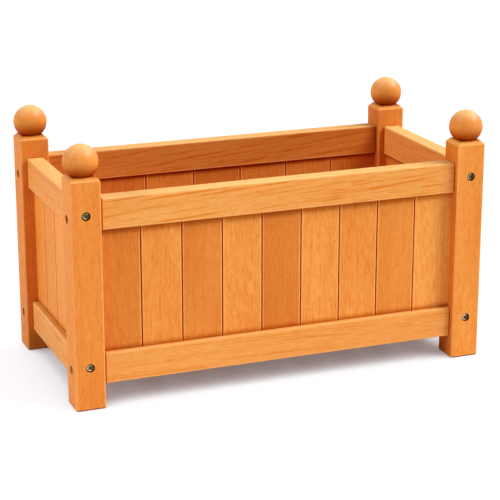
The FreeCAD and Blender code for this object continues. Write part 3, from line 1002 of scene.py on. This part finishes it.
        # the wells on the end side get a weaker painted shade
        sides = ((0, Side.FRONT, 1.0), (3, Side.LEFT, self.end_shade))
        bolts = [(turn, z, dirt_and_shade) for turn, side, dirt_and_shade in sides for _, z, _ in self.bolts.middles(side)]
        for number, corner in enumerate(Corner):
            node = "corner_post_" + corner.label
            low, high = extent(node)
            middle = np.array([(low[0] + high[0]) / 2, (low[1] + high[1]) / 2, 0.0])
            post = self._post((high[0] - low[0]) / 2, high[2], bolts)
            post = post.moved(np.diag([*corner.value, 1.0]), middle)
            log = Log(Sawing.RIFT, self.first_seed + number, self.tones[number])
            add_piece("post_" + corner.label, post, LEVEL, self.palette.posts, [node], log)


@dataclass
class BallFinials:
    """Four turned balls, each on a flat seat."""

    palette: Palette
    seat_radius: float = 18.5 * MM
    seat_ease: float = 0.7 * MM
    # painted contact shade on the ball round its seat: the angle over which it fades, and its strength
    seat_shade: float = math.radians(34.0)
    seat_contact_shade: float = 0.8
    pole_gap: float = 0.02
    ring: int = 96
    rows: int = 64
    tones: tuple[float, ...] = (0.05, 0.00, 0.00, 0.10)
    first_seed: int = 31

    def _ball(self, radius: float) -> Surface:
        """Ball cut by its seat, with the seat's edge eased.

        Point (i, j) is the sphere (r sin a cos p, r sin a sin p, -r cos a), a running from the seat's
        edge, where r sin a is the seat's radius, to the top.

        Args:
            radius: the ball's radius.

        Returns:
            The ball, its seat at z = 0.
        """
        start = math.asin(self.seat_radius / radius)
        polar = np.linspace(start + self.seat_ease / radius, math.pi - self.pole_gap, self.rows)
        drop = math.sqrt(radius ** 2 - self.seat_radius ** 2)
        radii = np.r_[self.seat_radius - self.seat_ease, radius * np.sin(polar)]
        heights = np.r_[0.0, drop - radius * np.cos(polar)]
        # painted contact shade, darkest at the seat
        rise = (polar - polar[0]) / self.seat_shade
        wear = -self.seat_contact_shade * np.r_[1.0, np.clip(1 - rise, 0, 1)]
        return turned(radii, heights, wear, self.ring)

    def build(self) -> None:
        """Makes the four balls on their posts."""
        for number, corner in enumerate(Corner):
            node = "ball_finial_" + corner.label
            low, high = extent(node)
            _, post = extent("corner_post_" + corner.label)
            middle = np.array([(low[0] + high[0]) / 2, (low[1] + high[1]) / 2, post[2]])
            ball = self._ball((high[0] - low[0]) / 2).moved(LEVEL, middle)
            log = Log(Sawing.TURNED, self.first_seed + number, self.tones[number])
            add_piece("ball_" + corner.label, ball, LEVEL, self.palette.turnings, [node], log)


@dataclass
class Rails:
    """Eight rails between the posts, each with the groove that holds its boards."""

    palette: Palette
    # the back top rail's -0.75 is painted shade for the planter's inside
    tones: tuple[float, ...] = (0.34, 0.12, 0.10, 0.00, -0.75, 0.00, -0.20, 0.45)
    sawings: tuple[Sawing, ...] = (
        Sawing.FLAT, Sawing.RIFT, Sawing.RIFT, Sawing.FLAT,
        Sawing.FLAT, Sawing.RIFT, Sawing.RIFT, Sawing.FLAT)
    first_seed: int = 51
    tenon: float = 10.0 * MM
    end_ease: float = 1.1 * MM
    # painted shade at the rail ends where they meet the posts, longer at a front rail's left end behind the
    # proud post
    end_shade: float = 0.66
    front_end_shade: Pair = (4.7 * MM, 5.7 * MM)
    # painted shade on the inner face, and on a bottom rail's ledge under the boards
    inner_shade: float = 0.10
    ledge_shade: Pair = (0.45, -0.15)
    arris: float = 2.0 * MM
    groove_depth: float = 8.0 * MM
    groove_start: float = 9.8 * MM
    groove_width: float = 12.4 * MM
    inner_radius: float = 0.3 * MM

    def _section(self, low: Array, high: Array, top: bool) -> tuple[Array, Array]:
        """Outline of a rail in inward and up, its groove below a top rail or above a bottom one.

        Args:
            low: lowest corner of the rail's box.
            high: its highest corner.
            top: whether it is a top rail.

        Returns:
            The points of the outline, and the mark of wear and painted light of each.
        """
        left, right = low[0], high[0]
        foot, head = (high[1], low[1]) if top else (low[1], high[1])
        floor = head + math.copysign(self.groove_depth, foot - head)
        start = left + self.groove_start
        end = start + self.groove_width
        corners = [(left, foot), (right, foot), (right, head), (end, head), (end, floor),
                   (start, floor), (start, head), (left, head)]
        radii = [self.arris] * 3 + [self.inner_radius] * 4 + [self.arris]
        turn = -1 if top else 1
        outline, wear = fillet(corners[::turn], radii[::turn])
        # a bottom rail's ledge: its highlight dimmed and painted shade added under the boards
        ledge = (outline[:, 1] > head - self.arris) & (not top)
        wear = np.where(ledge, wear * self.ledge_shade[0] + self.ledge_shade[1], wear)
        # painted shade on the inner face
        inner = (outline[:, 0] > right - HAIR) & (wear == 0)
        return outline, np.where(inner, -self.inner_shade, wear)

    def _stations(self, low: float, high: float, front: bool) -> tuple[Array, Array, Array]:
        """Stations along a rail, with painted shade where it meets the posts.

        A front rail has a longer painted shade at its left end, in the corner behind the proud post.

        Args:
            low: the left end of the rail, without its tenon.
            high: the right end.
            front: whether it is a front rail.

        Returns:
            The stations, the inset at each, and the painted shade at each.
        """
        plain, insets = eased_ends(low, high, self.end_ease)
        stations = np.sort(np.r_[plain, plain[0] + np.array(self.front_end_shade)])
        reach = self.front_end_shade[0] if front else self.end_ease
        shaded_share = (stations < plain[0] + reach + HAIR) | (stations > plain[-1] - self.end_ease - HAIR)
        return stations, np.interp(stations, plain, insets), shaded_share * self.end_shade

    def build(self) -> None:
        """Makes the eight rails."""
        for number, (side, level) in enumerate(product(Side, ("top", "bottom"))):
            node = f"{side.label}_{level}_rail"
            axes = side.rail_axes
            low, high = extent(node, axes)
            ends = self._stations(low[2] + self.tenon, high[2] - self.tenon, side is Side.FRONT)
            rail = swept(self._section(low, high, level == "top"), *ends).moved(axes)
            log = Log(self.sawings[number], self.first_seed + number, self.tones[number])
            add_piece(f"rail_{side.label}_{level}", rail, axes, self.palette.rails, [node], log)


@dataclass
class BoardPanels:
    """Upright tongue-and-groove boards of the four walls."""

    palette: Palette
    joint: float = 1.5 * MM
    joint_dirt: Pair = (0.30, -1.0)
    end_joint_dirt: Pair = (0.05, -0.58)
    ease: float = 1.6 * MM
    # darkening of the lower and upper end of each board where it leaves the rails, the upper one a painted
    # shadow of the top rail; the back boards get a darker one
    dirt_and_shade: Pair = (0.56, 0.67)
    dirt_and_shade_fade: Pair = (10.0 * MM, 14.0 * MM)
    back_shade: Pair = (0.56, 0.80)
    back_shade_fade: Pair = (10.0 * MM, 9.5 * MM)
    tongue_start: float = 4.0 * MM
    tongue_thickness: float = 4.0 * MM
    tongue_length: float = 4.6 * MM
    groove_length: float = 5.5 * MM
    side_gap: float = 0.2 * MM
    housed: float = 7.5 * MM
    inner_radius: float = 0.3 * MM
    # painted shade on the boards' inner faces
    inner_shade: float = 0.12
    seed: int = 7
    tone_spread: float = 0.5
    end_tone: float = 0.22
    # the ninth board's 1.25 is painted light against the shadow of the front right post
    front_tones: tuple[float, ...] = (-0.75, 0.42, -0.58, 0.38, -0.82, 0.56, 0.30, -0.20, 1.25)
    front_sawings: tuple[Sawing, ...] = (
        Sawing.RIFT, Sawing.FLAT, Sawing.QUARTER, Sawing.FLAT, Sawing.QUARTER,
        Sawing.FLAT, Sawing.FLAT, Sawing.RIFT, Sawing.FLAT)

    def _section(self, edges: Pair, faces: Pair, first: bool, last: bool,
                 dirt_and_shade: Pair) -> tuple[Array, Array]:
        """Outline of a board in sideways and inward, from its nominal edges and its two faces.

        Args:
            edges: nominal left and right edges.
            faces: places of its outer and its inner face.
            first: whether its left edge is housed.
            last: whether its right edge is housed.
            dirt_and_shade: depth, as a share of the eased edge, from which the joint is dark, and its mark.

        Returns:
            The points of the outline, and the mark of wear and painted light of each.
        """
        (left, right), (face, back), r = edges, faces, self.inner_radius
        near = left - self.housed if first else left + self.joint / 2
        far = right + self.housed if last else right - self.joint / 2
        tip, pit, low = far + self.tongue_length, near + self.groove_length, face + self.tongue_start
        high, under = low + self.tongue_thickness, low - self.side_gap
        over = under + self.tongue_thickness + 2 * self.side_gap
        tongue = [] if last else [(far, low), (tip, low), (tip, high), (far, high)]
        slot = [] if first else [(near, over), (pit, over), (pit, under), (near, under)]
        start, end = (r if housed else self.ease for housed in (first, last))
        outline, wear = fillet(
            [(near, face), (far, face), *tongue, (far, back), (near, back), *slot],
            [start, end, *[r] * len(tongue), end, start, *[r] * len(slot)])
        depth = np.minimum(outline[:, 1] - face, back - outline[:, 1])
        # painted shade on the inner face
        wear = np.where((outline[:, 1] > back - HAIR) & (wear == 0), -self.inner_shade, wear)
        return outline, np.where(depth > dirt_and_shade[0] * self.ease, dirt_and_shade[1], wear)

    def build(self) -> None:
        """Makes the boards of the four walls, each with a tone, a sawing and a log of its own."""
        rng = np.random.default_rng(self.seed)
        for side in Side:
            nodes = sorted(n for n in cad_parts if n.startswith(side.label + "_board_"))
            axes = side.board_axes
            boxes = [extent(node, axes) for node in nodes]
            start = min(low[0] for low, _ in boxes) + self.housed
            width = (max(high[0] for _, high in boxes) - self.housed - start) / len(nodes)
            at_end = side in (Side.LEFT, Side.RIGHT)
            joint_dirt = self.end_joint_dirt if at_end else self.joint_dirt
            dirt_and_shade = (self.back_shade, self.back_shade_fade) if side is Side.BACK else (self.dirt_and_shade, self.dirt_and_shade_fade)
            for number, (node, (low, high)) in enumerate(zip(nodes, boxes)):
                left = start + number * width
                section = self._section((left, left + width), (low[1], high[1]), number == 0,
                                        number == len(nodes) - 1, joint_dirt)
                tone = float(rng.uniform(-self.tone_spread, self.tone_spread)) + at_end * self.end_tone
                sawing = Sawing.drawn(rng)
                if side is Side.FRONT:
                    tone, sawing = self.front_tones[number], self.front_sawings[number]
                stations, shaded_share = housed_ends(low[2], high[2], self.housed, *dirt_and_shade)
                board = swept(section, stations, 0 * shaded_share, shaded_share).moved(axes)
                log = Log(sawing, int(rng.integers(LOG_SEEDS)), tone)
                add_piece(f"board_{side.label}_{number + 1}", board, axes, self.palette.boards, [node], log)


@dataclass
class SlattedFloor:
    """Cross slats on two battens, with their countersunk screws."""

    palette: Palette
    arris: float = 1.5 * MM
    end_ease: float = 1.2 * MM
    seed: int = 19
    tone_spread: float = 0.4
    screw_radius: float = 4.0 * MM
    screw_proud: float = 0.35 * MM
    screw_ring: int = 48
    screw_rows: int = 22
    screw_span: Pair = (0.04, 0.96)
    slot_radius: float = 2.3 * MM
    slot_width: float = 0.55 * MM
    slot_depth: float = 0.9 * MM
    slot_slopes: Pair = (0.4, 0.3)

    def _bar(self, node: str, axes: Array) -> Surface:
        """Bar with a rounded rectangular section and eased ends that fills a node's box.

        Args:
            node: name of the node.
            axes: rows across, through and along the bar.

        Returns:
            The bar's surface.
        """
        low, high = extent(node, axes)
        corners = [(low[0], low[1]), (high[0], low[1]), (high[0], high[1]), (low[0], high[1])]
        stations, insets = eased_ends(low[2], high[2], self.end_ease)
        return swept(fillet(corners, self.arris), stations, insets, 0 * insets).moved(axes)

    def _screw(self) -> Surface:
        """Screw head with a cross recess, its rim at z = 0.

        Height = proud (1 - (r / R)^2), less the recess, which is deepest in the middle and lies
        where either |x| or |y| is under half the slot's width, out to the slot's radius.

        Returns:
            The head's surface.
        """
        steps = np.r_[np.linspace(*self.screw_span, self.screw_rows), 1.0, 1.0]
        phi = np.arange(self.screw_ring) * FULL_TURN / self.screw_ring
        radius = self.screw_radius * steps[:, None]
        across = np.minimum(np.abs(radius * np.cos(phi)), np.abs(radius * np.sin(phi)))
        wall, end = self.slot_slopes
        inside = np.clip((self.slot_width - across) / (wall * self.slot_width), 0, 1)
        inside = inside * np.clip((self.slot_radius - radius) / (end * self.slot_radius), 0, 1)
        height = self.screw_proud * (1 - steps[:, None] ** 2) - self.slot_depth * inside
        height[-1] = -2 * self.screw_proud
        head = turned(steps * self.screw_radius, steps, 0 * steps, self.screw_ring)
        poles = [self.screw_proud - self.slot_depth, -2 * self.screw_proud]
        points = np.column_stack([head.points[:, :2], np.r_[height.reshape(-1), poles]])
        # painted shade in the cross recess
        marks = np.r_[-inside.reshape(-1), -1.0, 0.0]
        return Surface(points, [group[:, ::-1] for group in head.faces], marks)

    def _add_screws(self, slats: Sequence[str]) -> None:
        """Makes the screws, two to a slat, over the middle of each batten.

        Args:
            slats: nodes of the slats.
        """
        heads = []
        for node, batten in product(slats, ("front_floor_batten", "back_floor_batten")):
            (low, high), (near, far) = extent(node), extent(batten)
            middle = np.array([(low[0] + high[0]) / 2, (near[1] + far[1]) / 2, high[2]])
            heads.append(self._screw().moved(LEVEL, middle))
        add_piece("slat_screw_heads", Surface.joined(heads), LEVEL, self.palette.bolts, [])

    def build(self) -> None:
        """Makes the slats, the battens and the screws."""
        rng = np.random.default_rng(self.seed)
        slats = sorted(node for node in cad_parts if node.startswith("floor_slat_"))
        battens = sorted(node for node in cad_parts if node.endswith("_floor_batten"))
        for node in sorted([*slats, *battens]):
            axes = np.roll(LEVEL, 1, axis=0) if node in slats else Side.FRONT.rail_axes
            name = node.replace("floor_", "" if node in slats else "dressed_")
            sawing, seed = Sawing.drawn(rng), int(rng.integers(LOG_SEEDS))
            log = Log(sawing, seed, float(rng.uniform(-self.tone_spread, self.tone_spread)))
            add_piece(name, self._bar(node, axes), axes, self.palette.floor, [node], log)
        self._add_screws(slats)


@dataclass
class SocketBolts:
    """Bolts of the four sides, each with a domed head, a hexagon socket and a plain shank."""

    palette: Palette
    bolts: BoltPlaces
    shank_radius: float = 3.0 * MM
    point: Pair = (0.6, 1.2 * MM)
    neck: float = 0.2 * MM
    seat_ease: float = 0.3 * MM
    head_height: float = 3.6 * MM
    rim: float = 1.6 * MM
    rim_steps: int = 6
    dome: float = 0.5 * MM
    dome_rings: tuple[float, ...] = (0.25, 0.5, 0.75, 0.92)
    socket: float = 3.0 * MM
    socket_depth: float = 2.4 * MM
    socket_ease: float = 0.45 * MM
    socket_cone: float = 0.5 * MM
    # side, spread and strengths of the painted glint on each bolt's rim
    glint_side: float = math.radians(215.0)
    glint_spread: float = 0.6
    glints: Pair = (3.6, 1.0)
    ring: int = 60
    seed: int = 23

    def _bolt(self, length: float, rubbed: float, glint: float) -> Surface:
        """Bolt along z, its head's seat at z = 0 and its shank below.

        Rings run from the shank's end up to the seat, round the rim (a quarter circle), over the
        dome to the socket, and down the socket, whose radius is a / cos(p - 30) in each sixth turn.
        The rim carries a painted glint on one side: 1 + glint (0.5 + 0.5 cos (p - rubbed)) ^ 1.5
        times its marks. The seat, the rim's foot and the socket carry painted shade.

        Args:
            length: length of the shank.
            rubbed: direction of the rim's painted glint, as an angle from x.
            glint: how bright the painted glint is.

        Returns:
            The bolt's surface.
        """
        phi = np.arange(self.ring) * FULL_TURN / self.ring
        # painted glint on one side of the rim
        bright = glint * (0.5 + 0.5 * np.cos(phi - rubbed)) ** 1.5
        hexagon = self.socket / np.cos((phi % (math.pi / 3)) - math.pi / 6)
        head, rim, top = self.bolts.head_radius, self.rim, self.head_height
        dome, shank, deep = top - self.dome, self.shank_radius, top - self.socket_depth
        # radius, height, and mark of painted shade and painted glint of each ring
        rows: list[tuple[Any, float, Any]] = [
            (shank * self.point[0], -length, 0.0), (shank, -length + self.point[1], 0.0),
            (shank, -self.neck, -0.5), (shank, 0.0, -1.0),
            (head - self.seat_ease, 0.0, -1.0), (head, self.seat_ease, -1.0)]
        rows += [(head - rim * (1 - np.cos(a)), dome - rim * (1 - np.sin(a)),
                  -1.0 + (1.0 + bright) * np.sin(a) ** 8)
                 for a in np.linspace(0, QUARTER_TURN, self.rim_steps)]
        rows += [((head - rim) * (1 - share) + (hexagon + self.socket_ease) * share,
                  dome + self.dome * (1 - (1 - share) ** 2),
                  bright * (1 - share) - 0.25 * share) for share in self.dome_rings]
        rows += [
            (hexagon, top - self.socket_ease, -0.2),
            (hexagon * 0.985, top - self.socket_depth * 0.5, -0.35),
            (hexagon * 0.97, deep, -0.45), (hexagon * 0.30, deep - self.socket_cone, -0.35)]
        radii, heights, wear = (
            np.array([np.broadcast_to(given, self.ring) for given in column]) for column in zip(*rows))
        return turned(radii, heights[:, 0], wear, self.ring)

    def build(self) -> None:
        """Makes one piece of four bolts for each side."""
        rng = np.random.default_rng(self.seed)
        for side in Side:
            node = side.label + "_bolts"
            low, high = extent(node, side.rail_axes)
            (_, lower, _), (_, upper, spread) = self.bolts.middles(side)
            outward = -side.inward
            bolts = []
            for (height, glint), along in product(zip((lower, upper), self.glints), (-spread, spread)):
                seat = side.inward * (low[0] + self.head_height) + UP * height + side.sideways * along
                angle = rng.uniform(0, math.pi / 3)
                # direction of this bolt's painted glint
                rubbed = self.glint_side + rng.uniform(-self.glint_spread, self.glint_spread) - angle
                across = math.cos(angle) * side.sideways + math.sin(angle) * UP
                axes = np.array([across, np.cross(outward, across), outward])
                bolt = self._bolt(high[0] - low[0] - self.head_height, rubbed, glint)
                bolts.append(bolt.moved(axes, seat))
            surface = Surface.joined(bolts)
            add_piece("bolts_" + side.label, surface, side.rail_axes, self.palette.bolts, [node])


@dataclass(frozen=True)
class Lamp:
    """Soft sun lamp: strength, and elevation, azimuth from straight in front and size in degrees."""

    name: str
    strength: float
    elevation: float
    azimuth: float
    softness: float

    def build(self) -> None:
        """Makes the lamp."""
        data = bpy.data.lights.new(self.name, "SUN")
        data.energy = self.strength
        data.angle = math.radians(self.softness)
        lamp = bpy.data.objects.new(self.name, data)
        lamp.rotation_euler = (math.radians(90.0 - self.elevation), 0.0, math.radians(self.azimuth))
        bpy.context.scene.collection.objects.link(lamp)


@dataclass
class Studio:
    """White floor and background, three soft lamps, and the camera of the photograph."""

    focal_pixels: float = 1699.6
    frame_pixels: float = 500.0
    sensor_width: float = 36.0
    far_clip: float = 60.0
    eye: Colour = (-1.0415, -2.6506, 1.0479)
    yaw: float = math.radians(21.57)
    pitch: float = math.radians(-16.91)
    floor_half: float = 14.0
    floor_drop: float = 0.3 * MM
    floor_roughness: float = 0.9
    floor_shade: float = 0.20
    floor_reach: float = 0.30
    floor_samples: int = 12
    floor_stops: Stops = (
        (0.06, (0.162, 0.114, 0.094)), (0.285, (0.470, 0.43, 0.445)), (0.59, (0.88, 0.88, 0.89)))
    floor_bounce: float = 0.88
    sky: float = 0.04
    lamps: tuple[Lamp, ...] = (
        Lamp("key", 2.82, 40.0, 56.0, 32.0),
        Lamp("side", 1.90, 30.0, -90.0, 40.0),
        Lamp("rim", 1.12, 48.0, 100.0, 40.0),
    )

    def _camera(self) -> None:
        """Camera at the photograph's viewing angle."""
        data = bpy.data.cameras.new("photo_camera")
        data.sensor_width = self.sensor_width
        data.lens = self.focal_pixels / self.frame_pixels * data.sensor_width
        data.clip_end = self.far_clip
        camera = bpy.data.objects.new("photo_camera", data)
        camera.location = self.eye
        camera.rotation_euler = (QUARTER_TURN + self.pitch, 0.0, -self.yaw)
        bpy.context.scene.collection.objects.link(camera)
        bpy.context.scene.camera = camera

    @staticmethod
    def _direct_rays(tree: Tree) -> Value:
        """1 for rays of the camera, of gloss and of transmission, 0 for those that carry soft light."""
        camera, glossy, through = (tree.add("ShaderNodeLightPath", {}, {}, name) for name in DIRECT_RAYS)
        return camera.largest(glossy).largest(through)

    def _floor(self) -> None:
        """Flat white floor that keeps the planter's shadow.

        Where it is seen, part of its light is real and part is its own, which falls off with the
        share of the sky that the planter hides from each point.
        """
        half, level = self.floor_half, -self.floor_drop
        mesh = bpy.data.meshes.new("studio_floor")
        corners = [(-half, -half, level), (half, -half, level), (half, half, level), (-half, half, level)]
        mesh.from_pydata(corners, [], [(0, 1, 2, 3)])
        floor = bpy.data.objects.new("studio_floor", mesh)
        bpy.context.scene.collection.objects.link(floor)
        material = bpy.data.materials.new("studio_white")
        tree = Tree(material)
        direct = self._direct_rays(tree)
        settings, inputs = {"samples": self.floor_samples}, {"Distance": self.floor_reach}
        openness = tree.add("ShaderNodeAmbientOcclusion", settings, inputs, "AO")
        glow = tree.ramp(openness, self.floor_stops)
        tree.surface({
            "Base Color": tree.blend(direct, (self.floor_bounce,) * 3, (self.floor_shade,) * 3),
            "Roughness": self.floor_roughness,
            "Specular IOR Level": 0.0,
            "Emission Color": tree.blend(direct, (0.0, 0.0, 0.0), glow),
            "Emission Strength": 1.0,
        })
        mesh.materials.append(material)

    def _sky(self) -> None:
        """World: plain white where it is seen, and a faint sky where it lights."""
        world = bpy.data.worlds.new("studio_sky")
        bpy.context.scene.world = world
        tree = Tree(world)
        strength = self._direct_rays(tree).largest(self.sky)
        shader = tree.add("ShaderNodeBackground", {}, {"Color": (1.0, 1.0, 1.0), "Strength": strength})
        tree.add("ShaderNodeOutputWorld", {}, {"Surface": shader})

    def build(self) -> None:
        """Makes the camera, floor, world and lamps."""
        self._camera()
        self._floor()
        self._sky()
        for lamp in self.lamps:
            lamp.build()
        bpy.context.scene.view_settings.view_transform = "Standard"
        LOG.info("studio: camera, floor, sky and %d lamps", len(self.lamps))


def main() -> None:
    """Builds the planter's pieces and the studio in order."""
    logging.basicConfig(level=logging.INFO, format="%(message)s")
    palette = Palette()
    bolts = BoltPlaces()
    for part in (
        CornerPosts(palette, bolts),
        BallFinials(palette),
        Rails(palette),
        BoardPanels(palette),
        SlattedFloor(palette),
        SocketBolts(palette, bolts),
        Studio(),
    ):
        part.build()


if __name__ == "__main__":
    main()
